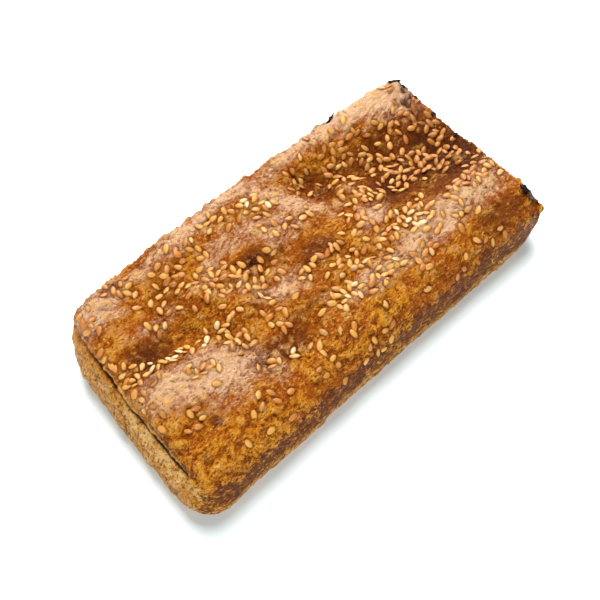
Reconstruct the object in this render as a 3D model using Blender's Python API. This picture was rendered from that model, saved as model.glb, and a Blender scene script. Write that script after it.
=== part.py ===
"""Flat flaxseed bread: one oblong loaf with a lumpy crust, and the flaxseeds that stick to it.

Metres, +Z up. The origin is the middle of the flat base. X runs along the loaf, from the near end with
the seam at -X to the far end with the scorched corners at +X. Y runs from the near side to the far side.
Run it with: blender --background --python part.py
"""

import math
import random
from collections import namedtuple

import bmesh
import bpy
from mathutils import Matrix, Vector, noise
from mathutils.bvhtree import BVHTree

# The loaf's level top before it swells and sinks, and the size of one flaxseed
CROWN_HEIGHT = 0.0300
SEED_LENGTH = 0.0049
SEED_WIDTH = 0.0028
SEED_THICKNESS = 0.0013

# A side's place is where it bulges most, at its middle. Slant and bow move it along its run of -1 to 1.
# Rim is the height where the wall turns into the top, set in from the bulge, and shoulder is how far
# in from the rim the top still rises.
Side = namedtuple("Side", "place slant bow rim inset shoulder")
NEAR_END = Side(place=-0.1062, slant=0.0042, bow=0.0016, rim=0.0230, inset=0.0066, shoulder=0.007)
FAR_END = Side(place=0.1075, slant=-0.0008, bow=0.0015, rim=0.0262, inset=0.0012, shoulder=0.008)
NEAR_SIDE = Side(place=-0.0535, slant=0.0030, bow=-0.0017, rim=0.0120, inset=0.0008, shoulder=0.021)
FAR_SIDE = Side(place=0.0562, slant=-0.0013, bow=-0.0045, rim=0.0252, inset=0.0012, shoulder=0.009)

# Corner radii seen from above, at the rim and at the foot
Corner = namedtuple("Corner", "rim foot")
NEAR_END_NEAR_SIDE = Corner(rim=0.0200, foot=0.0165)
NEAR_END_FAR_SIDE = Corner(rim=0.0090, foot=0.0260)
FAR_END_NEAR_SIDE = Corner(rim=0.0050, foot=0.0230)
FAR_END_FAR_SIDE = Corner(rim=0.0070, foot=0.0100)

# Near one side that side's rim weighs most, and on the level top all four weigh the same little
FULL_WEIGHT = 1.001

# The near end's edge in the square that the loaf is shaped from, which runs from -1 to 1 both ways
NEAR_END_EDGE = -0.9999

# The wall's foot is drawn in under the bulge, which is at this share of the rim's height
FOOT_INSET = 0.0032
BULGE_SHARE = 0.22

# Swells of the crust where the dough puffed up, and hollows where it sank: place, reach along and across,
# turn in degrees, rise, and edge, from 2 for a soft mound to 8 for a pillow with steep sides
Swell = namedtuple("Swell", "x y along across turn rise edge")
SWELLS = (
    Swell(-0.0725, -0.0125, 0.0250, 0.0150, -6, 0.0050, 6),
    Swell(-0.0800, 0.0410, 0.0190, 0.0110, 8, 0.0030, 4),
    Swell(-0.0360, 0.0470, 0.0120, 0.0075, 0, 0.0028, 4),
    Swell(0.0040, 0.0270, 0.0250, 0.0180, -32, 0.0050, 5),
    Swell(-0.0020, 0.0480, 0.0150, 0.0070, 4, 0.0025, 4),
    Swell(-0.0220, 0.0180, 0.0160, 0.0110, 10, 0.0028, 4),
    Swell(-0.0340, 0.0030, 0.0110, 0.0080, -20, 0.0030, 4),
    Swell(-0.0150, -0.0160, 0.0190, 0.0090, 0, 0.0030, 3),
    Swell(0.0200, 0.0010, 0.0170, 0.0080, -12, 0.0019, 3),
    Swell(0.0430, -0.0020, 0.0130, 0.0090, 12, 0.0041, 5),
    Swell(0.0460, 0.0150, 0.0090, 0.0070, 0, 0.0028, 4),
    Swell(0.0450, 0.0450, 0.0150, 0.0070, -4, 0.0028, 4),
    Swell(0.0860, 0.0440, 0.0210, 0.0100, -3, 0.0047, 4),
    Swell(0.0840, -0.0200, 0.0300, 0.0085, -4, 0.0041, 4),
    Swell(0.0450, -0.0220, 0.0220, 0.0090, 0, 0.0030, 3),
    Swell(0.0080, -0.0310, 0.0260, 0.0100, 2, 0.0017, 3),
    Swell(0.0940, -0.0380, 0.0140, 0.0080, 0, 0.0014, 3),
    Swell(-0.0670, 0.0115, 0.0200, 0.0080, -5, -0.0050, 3),
    Swell(-0.0540, 0.0320, 0.0130, 0.0130, 0, -0.0036, 2),
    Swell(-0.0440, -0.0170, 0.0060, 0.0130, 8, -0.0033, 2),
    Swell(-0.0340, -0.0280, 0.0130, 0.0045, -14, -0.0033, 2),
    Swell(0.0300, 0.0330, 0.0110, 0.0190, 24, -0.0047, 3),
    Swell(0.0560, 0.0290, 0.0240, 0.0120, -8, -0.0055, 3),
    Swell(0.0800, 0.0090, 0.0310, 0.0150, -5, -0.0066, 3),
    Swell(-0.0165, 0.0150, 0.0040, 0.0030, 0, -0.0030, 2),
    Swell(0.0060, 0.0080, 0.0200, 0.0060, 4, -0.0019, 2),
    Swell(0.0300, -0.0110, 0.0240, 0.0040, -4, -0.0019, 2),
    Swell(0.0100, -0.0190, 0.0220, 0.0050, 0, -0.0017, 2),
)

# Uneven dough: the outline wanders a little, and lumps and crags roughen the crust. Each has a size,
# a depth, and a number that picks one of many random patterns.
Roughness = namedtuple("Roughness", "size depth number")
WANDER_ALONG = Roughness(size=0.030, depth=0.0008, number=1)
WANDER_ACROSS = Roughness(size=0.030, depth=0.0008, number=2)
LUMPS = Roughness(size=0.0170, depth=0.0013, number=3)
CRAGS = Roughness(size=0.0075, depth=0.0010, number=7)

# The cracked seam along the near end's wall, under the edge of the top crust: its level on the wall, how
# far it spreads above and below that, its depth, and the share of the end that it runs along
SEAM_LEVEL = 0.95
SEAM_SPREAD = 0.024
SEAM_DEPTH = 0.0026
SEAM_RUN = 0.90
SEAM_BREAKS = Roughness(size=0.0110, depth=0.9, number=5)

# Where the seeds were strewn: place, reach along and across, turn in degrees, and how many
Drift = namedtuple("Drift", "x y along across turn count")
DRIFTS = (
    Drift(-0.0680, 0.0030, 0.0190, 0.0028, -6, 26),
    Drift(-0.0900, 0.0080, 0.0050, 0.0070, 0, 9),
    Drift(-0.0680, -0.0110, 0.0080, 0.0040, 0, 9),
    Drift(-0.0760, -0.0240, 0.0100, 0.0030, 10, 6),
    Drift(-0.0920, 0.0420, 0.0050, 0.0060, 0, 7),
    Drift(-0.0680, 0.0440, 0.0060, 0.0050, -40, 10),
    Drift(-0.0500, 0.0370, 0.0070, 0.0040, 0, 9),
    Drift(-0.0560, 0.0230, 0.0160, 0.0070, 0, 13),
    Drift(-0.0340, 0.0420, 0.0100, 0.0060, 20, 12),
    Drift(-0.0170, 0.0430, 0.0080, 0.0040, 0, 7),
    Drift(-0.0430, 0.0240, 0.0060, 0.0080, 10, 12),
    Drift(-0.0320, 0.0190, 0.0060, 0.0070, -20, 16),
    Drift(-0.0230, 0.0100, 0.0100, 0.0050, -10, 17),
    Drift(-0.0460, -0.0100, 0.0040, 0.0080, 8, 13),
    Drift(-0.0380, -0.0280, 0.0100, 0.0030, -14, 9),
    Drift(-0.0270, -0.0120, 0.0100, 0.0080, 0, 10),
    Drift(0.0030, 0.0350, 0.0100, 0.0060, 10, 17),
    Drift(0.0080, 0.0200, 0.0120, 0.0060, 0, 10),
    Drift(0.0040, -0.0040, 0.0120, 0.0060, 0, 10),
    Drift(0.0040, -0.0240, 0.0070, 0.0040, 10, 16),
    Drift(0.0200, -0.0120, 0.0100, 0.0060, 0, 22),
    Drift(0.0210, -0.0290, 0.0090, 0.0030, 0, 14),
    Drift(0.0390, -0.0160, 0.0080, 0.0050, 0, 11),
    Drift(0.0480, -0.0320, 0.0100, 0.0040, 20, 13),
    Drift(0.0350, 0.0020, 0.0100, 0.0050, 40, 18),
    Drift(0.0470, 0.0060, 0.0060, 0.0050, 0, 9),
    Drift(0.0560, -0.0160, 0.0070, 0.0050, 0, 24),
    Drift(0.0300, 0.0370, 0.0060, 0.0060, 0, 7),
    Drift(0.0520, 0.0360, 0.0110, 0.0070, 0, 29),
    Drift(0.0470, 0.0190, 0.0080, 0.0060, 0, 10),
    Drift(0.0660, 0.0250, 0.0060, 0.0090, 0, 16),
    Drift(0.0720, 0.0070, 0.0110, 0.0060, -10, 34),
    Drift(0.0890, 0.0030, 0.0090, 0.0060, 0, 22),
    Drift(0.0820, 0.0260, 0.0090, 0.0080, 0, 12),
    Drift(0.0980, 0.0280, 0.0050, 0.0120, 0, 22),
    Drift(0.0850, -0.0190, 0.0120, 0.0040, -8, 20),
    Drift(0.0980, -0.0110, 0.0050, 0.0070, 0, 9),
    Drift(0.0720, -0.0290, 0.0090, 0.0040, 0, 7),
    Drift(0.0700, -0.0480, 0.0240, 0.0035, 2, 10),
    Drift(0.0100, -0.0500, 0.0180, 0.0035, 0, 10),
    Drift(-0.0200, -0.0430, 0.0140, 0.0045, 0, 8),
    Drift(-0.0620, -0.0440, 0.0160, 0.0060, 0, 9),
)

# Seeds keep this far apart, and inside this share of the way out from the middle. A drift's reach is
# this many standard deviations. Sizes differ by this share, tilts by this many degrees.
SEED_GAP = 0.0025
SEED_LIMIT = 0.985
SEED_TRIES = 40
SEED_PATTERN = 11
DRIFT_DEVIATIONS = 1.5
SEED_SIZE_SPREAD = 0.14
SEED_TILT = 9
SEED_SUNK = 0.10
SEED_TAPER = 0.30

# Of all those seeds the solid carries the largest, this far apart
SOLID_SEEDS = 165
SOLID_SEED_GAP = 0.0036
SEED_SIDES, SEED_RINGS = 6, 3

# Scorched crumbs on the far end's corners and edges: place along u and v, length, width and height
Crumb = namedtuple("Crumb", "u v length width height")
CRUMBS = (
    Crumb(0.975, 0.955, 0.0050, 0.0040, 0.0018),
    Crumb(0.985, 0.860, 0.0030, 0.0030, 0.0016),
    Crumb(0.985, 0.660, 0.0028, 0.0024, 0.0014),
    Crumb(0.985, 0.420, 0.0024, 0.0022, 0.0014),
    Crumb(0.990, 0.120, 0.0024, 0.0022, 0.0014),
    Crumb(0.590, 0.970, 0.0066, 0.0030, 0.0018),
    Crumb(0.975, -0.760, 0.0056, 0.0050, 0.0024),
)
CRUMB_LUMPS = Roughness(size=0.4, depth=0.3, number=0)

# The grid of faces, as segments along and across, and the levels of the wall's rings from rim to base
TOP_ALONG, TOP_ACROSS = 50, 25
WALL_LEVELS = (0.985, 0.95, 0.915, 0.64, 0.42, 0.22, 0.09, 0.0)
RIM_LEVEL = 1.0

CRUST_COLOUR = (0.42, 0.17, 0.045, 1.0)
CRUST_ROUGHNESS = 0.6
SHARP_ANGLE = 50


def mix(a, b, share):
    """The value that is this share of the way from a to b."""
    return a + (b - a) * share


def rough(point, kind, number=0):
    """A smooth random rise and fall of this kind at this point."""
    return noise.noise(point / kind.size + Vector((kind.number + number, 0, 0))) * kind.depth


def reach_of(side, along):
    """Where a side's bulge is, at this place along its run of -1 to 1."""
    return side.place + side.slant * along + side.bow * along * along


def shoulder_rise(distance, reach):
    """Rises from 0 at the rim to 1 where the shoulder ends, as a quarter of an ellipse does."""
    left = 1.0 - min(max(distance / reach, 0.0), 1.0)
    return math.sqrt(max(1.0 - left * left, 0.0))


def rim_distances(x, y):
    """How far this place lies inside the rim of the near end, far end, near side and far side."""
    along, across = x / FAR_END.place, y / FAR_SIDE.place
    return (
        x - reach_of(NEAR_END, across) - NEAR_END.inset,
        reach_of(FAR_END, across) - FAR_END.inset - x,
        y - reach_of(NEAR_SIDE, along) - NEAR_SIDE.inset,
        reach_of(FAR_SIDE, along) - FAR_SIDE.inset - y,
    )


def corner_radius(u, v, level):
    """The radius of the corner that (u, v) is nearest to, at a level from 0 at the foot to 1 at the rim."""
    if u < 0:
        corner = NEAR_END_NEAR_SIDE if v < 0 else NEAR_END_FAR_SIDE
    else:
        corner = FAR_END_NEAR_SIDE if v < 0 else FAR_END_FAR_SIDE
    return mix(corner.foot, corner.rim, level)


def rounded(u, v, level):
    """Moves a point of the square so that each ring round the middle gets the loaf's round corners."""
    ring = max(abs(u), abs(v))
    if ring < 1e-6:
        return u, v
    half_length, half_width = FAR_END.place, FAR_SIDE.place
    radius = corner_radius(u, v, level) * ring
    x, y = abs(u) * half_length, abs(v) * half_width
    on_end = abs(u) >= abs(v)
    past = y - (half_width * ring - radius) if on_end else x - (half_length * ring - radius)
    if past > 0:
        angle = past / radius * math.pi / 4
        turned = (radius * math.cos(angle), radius * math.sin(angle))
        out, over = turned if on_end else turned[::-1]
        x = half_length * ring - radius + out
        y = half_width * ring - radius + over
    return math.copysign(x / half_length, u), math.copysign(y / half_width, v)


def plan(u, v, level=1.0, inset_share=1.0, inset=0.0):
    """The place seen from above of (u, v), with the rim's inset taken at this share, or a set inset."""
    u, v = rounded(u, v, level)
    near_end = reach_of(NEAR_END, v) + NEAR_END.inset * inset_share + inset
    far_end = reach_of(FAR_END, v) - FAR_END.inset * inset_share - inset
    near_side = reach_of(NEAR_SIDE, u) + NEAR_SIDE.inset * inset_share + inset
    far_side = reach_of(FAR_SIDE, u) - FAR_SIDE.inset * inset_share - inset
    x = mix(near_end, far_end, (u + 1) / 2)
    y = mix(near_side, far_side, (v + 1) / 2)
    place = Vector((x, y, 0))
    return x + rough(place, WANDER_ALONG), y + rough(place, WANDER_ACROSS)


def swell_height(x, y):
    """How far the crust stands above or below its level top at this place."""
    height = 0.0
    for swell in SWELLS:
        turn = math.radians(swell.turn)
        dx, dy = x - swell.x, y - swell.y
        along = (dx * math.cos(turn) + dy * math.sin(turn)) / swell.along
        across = (dy * math.cos(turn) - dx * math.sin(turn)) / swell.across
        distance = math.hypot(along, across)
        height += swell.rise / (1 + distance**swell.edge)
    return height


def crust_height(x, y):
    """The height of the top crust at this place: from the rims over the shoulders to the swollen top."""
    sides = (NEAR_END, FAR_END, NEAR_SIDE, FAR_SIDE)
    rises = [shoulder_rise(d, side.shoulder) for d, side in zip(rim_distances(x, y), sides)]
    weights = [FULL_WEIGHT - rise for rise in rises]
    rim = sum(weight * side.rim for weight, side in zip(weights, sides)) / sum(weights)
    place = Vector((x, y, 0))
    height = mix(rim, CROWN_HEIGHT + swell_height(x, y), math.prod(rises))
    return height + rough(place, LUMPS) + rough(place, CRAGS)


def crust_point(u, v):
    """The point of the top crust at (u, v), both from -1 to 1."""
    x, y = plan(u, v)
    return Vector((x, y, crust_height(x, y)))


def seam_depth(u, v, level):
    """How deep the seam cuts into the wall here, which is nowhere but along the near end."""
    if u > NEAR_END_EDGE:
        return 0.0
    run = max(1 - (v / SEAM_RUN) ** 2, 0.0)
    breaks = 1 + rough(Vector((0, v * FAR_SIDE.place, 0)), SEAM_BREAKS)
    return SEAM_DEPTH * run * breaks * math.exp(-(((level - SEAM_LEVEL) / SEAM_SPREAD) ** 2))


def wall_point(u, v, level):
    """The point of the wall under the rim point (u, v), at a level from 0 at the base to 1 at the rim."""
    rim = crust_point(u, v)
    if level < BULGE_SHARE:
        under = 1 - level / BULGE_SHARE
        x, y = plan(u, v, level, inset_share=0, inset=FOOT_INSET * (1 - math.sqrt(1 - under * under)))
    else:
        leaning = ((level - BULGE_SHARE) / (1 - BULGE_SHARE)) ** 2
        x, y = plan(u, v, level, inset_share=leaning, inset=seam_depth(u, v, level))
    point = Vector((x, y, rim.z * level))
    outward = Vector((x, y, 0)).normalized()
    fade = 4 * level * (1 - level)
    return point + outward * rough(point, CRAGS) * fade


def build_crust():
    """The loaf without seeds: a grid with its edge drawn down to the base, then shaped."""
    bm = bmesh.new()
    bmesh.ops.create_grid(bm, x_segments=TOP_ALONG, y_segments=TOP_ACROSS, size=1.0)
    for vertex in bm.verts:
        vertex.co.z = RIM_LEVEL
    edge = [e for e in bm.edges if e.is_boundary]
    for level in WALL_LEVELS:
        made = bmesh.ops.extrude_edge_only(bm, edges=edge)["geom"]
        for vertex in (g for g in made if isinstance(g, bmesh.types.BMVert)):
            vertex.co.z = level
        edge = [g for g in made if isinstance(g, bmesh.types.BMEdge) and g.is_boundary]
    bmesh.ops.holes_fill(bm, edges=edge, sides=0)
    for vertex in bm.verts:
        u, v, level = vertex.co
        vertex.co = wall_point(u, v, level) if level < WALL_LEVELS[0] + 1e-4 else crust_point(u, v)
    bmesh.ops.recalc_face_normals(bm, faces=bm.faces)
    mesh = bpy.data.meshes.new("flaxseed_loaf")
    bm.to_mesh(mesh)
    bm.free()
    return bpy.data.objects.new("flaxseed_loaf", mesh)


def square_place(x, y):
    """The (u, v) whose crust lies at this place, near enough away from the round corners."""
    u, v = x / FAR_END.place, y / FAR_SIDE.place
    for _ in range(3):
        near_end, far_end = reach_of(NEAR_END, v) + NEAR_END.inset, reach_of(FAR_END, v) - FAR_END.inset
        near_side, far_side = reach_of(NEAR_SIDE, u), reach_of(FAR_SIDE, u)
        u = 2 * (x - near_end) / (far_end - near_end) - 1
        v = 2 * (y - near_side) / (far_side - near_side) - 1
    return u, v


Seed = namedtuple("Seed", "u v spin tilt size")


def free_place(draw, drift, taken):
    """A place in the drift that is on the crust and clear of the places taken, or None after some tries."""
    turn = math.radians(drift.turn)
    for _ in range(SEED_TRIES):
        along = draw.gauss(0, drift.along / DRIFT_DEVIATIONS)
        across = draw.gauss(0, drift.across / DRIFT_DEVIATIONS)
        x = drift.x + along * math.cos(turn) - across * math.sin(turn)
        y = drift.y + along * math.sin(turn) + across * math.cos(turn)
        on_crust = max(abs(share) for share in square_place(x, y)) < SEED_LIMIT
        if on_crust and all(math.hypot(x - a, y - b) > SEED_GAP for a, b in taken):
            return x, y
    return None


def strewn_seeds():
    """Every seed on the crust, drawn drift by drift."""
    draw = random.Random(SEED_PATTERN)
    seeds, taken = [], []
    for drift in (d for d in DRIFTS for _ in range(d.count)):
        place = free_place(draw, drift, taken)
        if place is None:
            continue
        taken.append(place)
        size = 1 + draw.uniform(-SEED_SIZE_SPREAD, SEED_SIZE_SPREAD)
        tilt, spin = draw.gauss(0, SEED_TILT), draw.uniform(0, 360)
        seeds.append(Seed(*square_place(*place), spin, tilt, size))
    return seeds


def largest_apart(seeds):
    """The largest seeds that lie far enough apart for the solid."""
    kept = []
    for seed in sorted(seeds, key=lambda s: -s.size):
        place = crust_point(seed.u, seed.v)
        if all((place - other).length > SOLID_SEED_GAP for _, other in kept):
            kept.append((seed, place))
    return [seed for seed, _ in kept[:SOLID_SEEDS]]


def seed_mesh():
    """One flaxseed: a flat drop, round at one end and drawn to a point at the other."""
    bm = bmesh.new()
    upright = Matrix.Rotation(math.pi / 2, 4, "Y")
    bmesh.ops.create_uvsphere(bm, u_segments=SEED_SIDES, v_segments=SEED_RINGS, radius=0.5, matrix=upright)
    for vertex in bm.verts:
        x, y, z = vertex.co
        taper = 1 - SEED_TAPER * x
        vertex.co = Vector((x * SEED_LENGTH, y * SEED_WIDTH * taper, z * SEED_THICKNESS * taper))
    mesh = bpy.data.meshes.new("flaxseed")
    bm.to_mesh(mesh)
    bm.free()
    return mesh


def lie_on_crust(obj, surface, u, v, spin, tilt, size, sunk):
    """Lays an object flat on the crust's faces at (u, v), spun in degrees about their normal, and sunk."""
    at, up, _, _ = surface.find_nearest(crust_point(u, v))
    across = up.cross(Vector((1, 0, 0))).normalized()
    lie = Matrix((across.cross(up), across, up)).transposed().to_4x4()
    spun = Matrix.Rotation(math.radians(spin), 4, "Z") @ Matrix.Rotation(math.radians(tilt), 4, "Y")
    place = Matrix.Translation(at - up * sunk)
    obj.matrix_world = place @ lie @ spun @ Matrix.Scale(size, 4)


def add_seeds(toppings, surface):
    mesh = seed_mesh()
    for number, seed in enumerate(largest_apart(strewn_seeds())):
        obj = bpy.data.objects.new(f"seed_{number:03d}", mesh)
        sunk = SEED_SUNK * SEED_THICKNESS
        lie_on_crust(obj, surface, seed.u, seed.v, seed.spin, seed.tilt, seed.size, sunk)
        toppings.objects.link(obj)


def add_crumbs(toppings, surface):
    """The scorched crumbs on the far end's edges, each a rough lump half sunk in the crust."""
    for number, crumb in enumerate(CRUMBS):
        bm = bmesh.new()
        bmesh.ops.create_icosphere(bm, subdivisions=1, radius=0.5)
        for vertex in bm.verts:
            x, y, z = vertex.co * (1 + rough(vertex.co, CRUMB_LUMPS, number))
            vertex.co = Vector((x * crumb.length, y * crumb.width, z * crumb.height))
        mesh = bpy.data.meshes.new(f"crumb_{number}")
        bm.to_mesh(mesh)
        bm.free()
        obj = bpy.data.objects.new(f"crumb_{number}", mesh)
        lie_on_crust(obj, surface, crumb.u, crumb.v, spin=0, tilt=0, size=1, sunk=0)
        toppings.objects.link(obj)


def fuse(loaf, toppings):
    """Joins the toppings to the loaf with one Boolean union, and removes them."""
    union = loaf.modifiers.new("fuse_toppings", "BOOLEAN")
    union.operation = "UNION"
    union.operand_type = "COLLECTION"
    union.collection = toppings
    union.solver = "EXACT"
    graph = bpy.context.evaluated_depsgraph_get()
    fused = bpy.data.meshes.new_from_object(loaf.evaluated_get(graph))
    loaf.modifiers.remove(union)
    loaf.data = fused
    for obj in list(toppings.objects):
        bpy.data.objects.remove(obj)
    bpy.data.collections.remove(toppings)


def crust_material():
    material = bpy.data.materials.new("baked_wholemeal_crust")
    material.use_nodes = True
    shader = material.node_tree.nodes["Principled BSDF"]
    shader.inputs["Base Color"].default_value = CRUST_COLOUR
    shader.inputs["Roughness"].default_value = CRUST_ROUGHNESS
    shader.inputs["Metallic"].default_value = 0.0
    return material


def main():
    for obj in list(bpy.data.objects):
        bpy.data.objects.remove(obj)
    bread = bpy.data.collections.new("Flaxseed bread")
    toppings = bpy.data.collections.new("Toppings")
    bpy.context.scene.collection.children.link(bread)
    bpy.context.scene.collection.children.link(toppings)
    loaf = build_crust()
    bread.objects.link(loaf)
    mesh = loaf.data
    surface = BVHTree.FromPolygons([v.co for v in mesh.vertices], [f.vertices for f in mesh.polygons])
    add_seeds(toppings, surface)
    add_crumbs(toppings, surface)
    fuse(loaf, toppings)
    loaf.data.materials.clear()
    loaf.data.materials.append(crust_material())
    loaf.data.shade_smooth()
    loaf.data.set_sharp_from_angle(angle=math.radians(SHARP_ANGLE))


main()
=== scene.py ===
"""Flat flaxseed bread: the browned crust, the flaxseeds strewn on it and its scorched crumbs.

Metres, +Z up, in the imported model's frame. The origin is the middle of the flat base. X runs along the loaf
from the near end with the seam to the far end with the scorched corners, and Y from near side to far side.
"""

import math
import random
from collections import namedtuple

import bmesh
import bpy
import numpy as np
from mathutils import Matrix, Vector, noise
from mathutils.bvhtree import BVHTree


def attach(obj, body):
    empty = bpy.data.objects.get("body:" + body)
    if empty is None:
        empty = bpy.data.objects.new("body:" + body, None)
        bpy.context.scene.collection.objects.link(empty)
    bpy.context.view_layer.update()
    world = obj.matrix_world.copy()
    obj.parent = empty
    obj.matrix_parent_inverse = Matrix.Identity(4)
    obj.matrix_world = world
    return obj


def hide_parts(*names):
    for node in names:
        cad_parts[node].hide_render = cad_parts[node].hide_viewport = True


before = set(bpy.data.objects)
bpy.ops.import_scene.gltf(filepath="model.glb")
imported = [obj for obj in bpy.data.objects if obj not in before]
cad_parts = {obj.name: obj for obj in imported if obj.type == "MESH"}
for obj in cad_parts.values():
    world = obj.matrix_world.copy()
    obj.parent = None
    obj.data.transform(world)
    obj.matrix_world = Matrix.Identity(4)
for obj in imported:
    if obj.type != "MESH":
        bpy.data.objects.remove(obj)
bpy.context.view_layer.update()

MM = 0.001

# The loaf's level top before it swells and sinks, and the size of one golden flaxseed
CROWN_HEIGHT = 0.0300
SEED_LENGTH = 0.0049
SEED_WIDTH = 0.0028
SEED_THICKNESS = 0.0013

# A side's place is where it bulges most, at its middle. Slant and bow move it along its run of -1 to 1.
# Rim is the height where the wall turns into the top, set in from the bulge, and shoulder is how far
# in from the rim the top still rises.
Side = namedtuple("Side", "place slant bow rim inset shoulder")
NEAR_END = Side(place=-0.1062, slant=0.0042, bow=0.0016, rim=0.0230, inset=0.0066, shoulder=0.007)
FAR_END = Side(place=0.1075, slant=-0.0008, bow=0.0015, rim=0.0262, inset=0.0012, shoulder=0.008)
NEAR_SIDE = Side(place=-0.0535, slant=0.0030, bow=-0.0017, rim=0.0120, inset=0.0008, shoulder=0.021)
FAR_SIDE = Side(place=0.0562, slant=-0.0013, bow=-0.0045, rim=0.0252, inset=0.0012, shoulder=0.009)
SIDES = (NEAR_END, FAR_END, NEAR_SIDE, FAR_SIDE)

# Corner radii seen from above, at the rim and at the foot
Corner = namedtuple("Corner", "rim foot")
NEAR_END_NEAR_SIDE = Corner(rim=0.0200, foot=0.0165)
NEAR_END_FAR_SIDE = Corner(rim=0.0090, foot=0.0260)
FAR_END_NEAR_SIDE = Corner(rim=0.0050, foot=0.0230)
FAR_END_FAR_SIDE = Corner(rim=0.0070, foot=0.0100)

# Near one side that side's rim weighs most, and on the level top all four weigh the same little
FULL_WEIGHT = 1.001

# The wall's foot is drawn in under the bulge, which is at this share of the rim's height
FOOT_INSET = 0.0032
BULGE_SHARE = 0.22

# Swells of the crust where the dough puffed up, and hollows where it sank: place, reach along and across,
# turn in degrees, rise, and edge, from 2 for a soft mound to 8 for a pillow with steep sides
Swell = namedtuple("Swell", "x y along across turn rise edge")
SWELLS = (
    Swell(-0.0725, -0.0125, 0.0250, 0.0150, -6, 0.0050, 6),
    Swell(-0.0800, 0.0410, 0.0190, 0.0110, 8, 0.0030, 4),
    Swell(-0.0360, 0.0470, 0.0120, 0.0075, 0, 0.0028, 4),
    Swell(0.0040, 0.0270, 0.0250, 0.0180, -32, 0.0050, 5),
    Swell(-0.0020, 0.0480, 0.0150, 0.0070, 4, 0.0025, 4),
    Swell(-0.0220, 0.0180, 0.0160, 0.0110, 10, 0.0028, 4),
    Swell(-0.0340, 0.0030, 0.0110, 0.0080, -20, 0.0030, 4),
    Swell(-0.0150, -0.0160, 0.0190, 0.0090, 0, 0.0030, 3),
    Swell(0.0200, 0.0010, 0.0170, 0.0080, -12, 0.0019, 3),
    Swell(0.0430, -0.0020, 0.0130, 0.0090, 12, 0.0041, 5),
    Swell(0.0460, 0.0150, 0.0090, 0.0070, 0, 0.0028, 4),
    Swell(0.0450, 0.0450, 0.0150, 0.0070, -4, 0.0028, 4),
    Swell(0.0860, 0.0440, 0.0210, 0.0100, -3, 0.0047, 4),
    Swell(0.0840, -0.0200, 0.0300, 0.0085, -4, 0.0041, 4),
    Swell(0.0450, -0.0220, 0.0220, 0.0090, 0, 0.0030, 3),
    Swell(0.0080, -0.0310, 0.0260, 0.0100, 2, 0.0017, 3),
    Swell(0.0940, -0.0380, 0.0140, 0.0080, 0, 0.0014, 3),
    Swell(-0.0670, 0.0115, 0.0200, 0.0080, -5, -0.0050, 3),
    Swell(-0.0540, 0.0320, 0.0130, 0.0130, 0, -0.0036, 2),
    Swell(-0.0440, -0.0170, 0.0060, 0.0130, 8, -0.0033, 2),
    Swell(-0.0340, -0.0280, 0.0130, 0.0045, -14, -0.0033, 2),
    Swell(0.0300, 0.0330, 0.0110, 0.0190, 24, -0.0047, 3),
    Swell(0.0560, 0.0290, 0.0240, 0.0120, -8, -0.0055, 3),
    Swell(0.0800, 0.0090, 0.0310, 0.0150, -5, -0.0066, 3),
    Swell(-0.0165, 0.0150, 0.0040, 0.0030, 0, -0.0030, 2),
    Swell(0.0060, 0.0080, 0.0200, 0.0060, 4, -0.0019, 2),
    Swell(0.0300, -0.0110, 0.0240, 0.0040, -4, -0.0019, 2),
    Swell(0.0100, -0.0190, 0.0220, 0.0050, 0, -0.0017, 2),
)

# Uneven dough: the outline wanders a little, and lumps and crags roughen the crust. Each has a size,
# a depth, and a number that picks one of many random patterns.
Roughness = namedtuple("Roughness", "size depth number")
WANDER_ALONG = Roughness(size=0.030, depth=0.0008, number=1)
WANDER_ACROSS = Roughness(size=0.030, depth=0.0008, number=2)
LUMPS = Roughness(size=0.0170, depth=0.0013, number=3)
CRAGS = Roughness(size=0.0075, depth=0.0010, number=7)

# The cracked seam along the near end's wall, under the edge of the top crust: its level on the wall, how
# that slants and wavers, how far it spreads above and below, its depth, the share of the end that it runs
# along, how its depth comes and goes, and how far the crust's lip stands out, this many spreads above it
SEAM_LEVEL = 0.950
SEAM_SLANT = -0.01
SEAM_WAVER = Roughness(size=0.0130, depth=0.035, number=4)
SEAM_SPREAD = 0.024
SEAM_DEPTH = 0.0026
SEAM_RUN = 0.90
SEAM_BREAKS = Roughness(size=0.0070, depth=1.1, number=5)
SEAM_LIP, LIP_ABOVE = 0.0006, 2

# Below the seam the crumb is torn open, fully for half of this reach down the wall and then less and less.
# Across the loaf it starts at the first of these two places and is full past the second.
TORN_REACH = 0.42
TORN_END = (0.016, -0.004)

# The near end is where u is below this, and the top and the foot are this near levels 1 and 0
NEAR_END_FROM, LEVEL_SLACK = -0.9999, 1e-5

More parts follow.
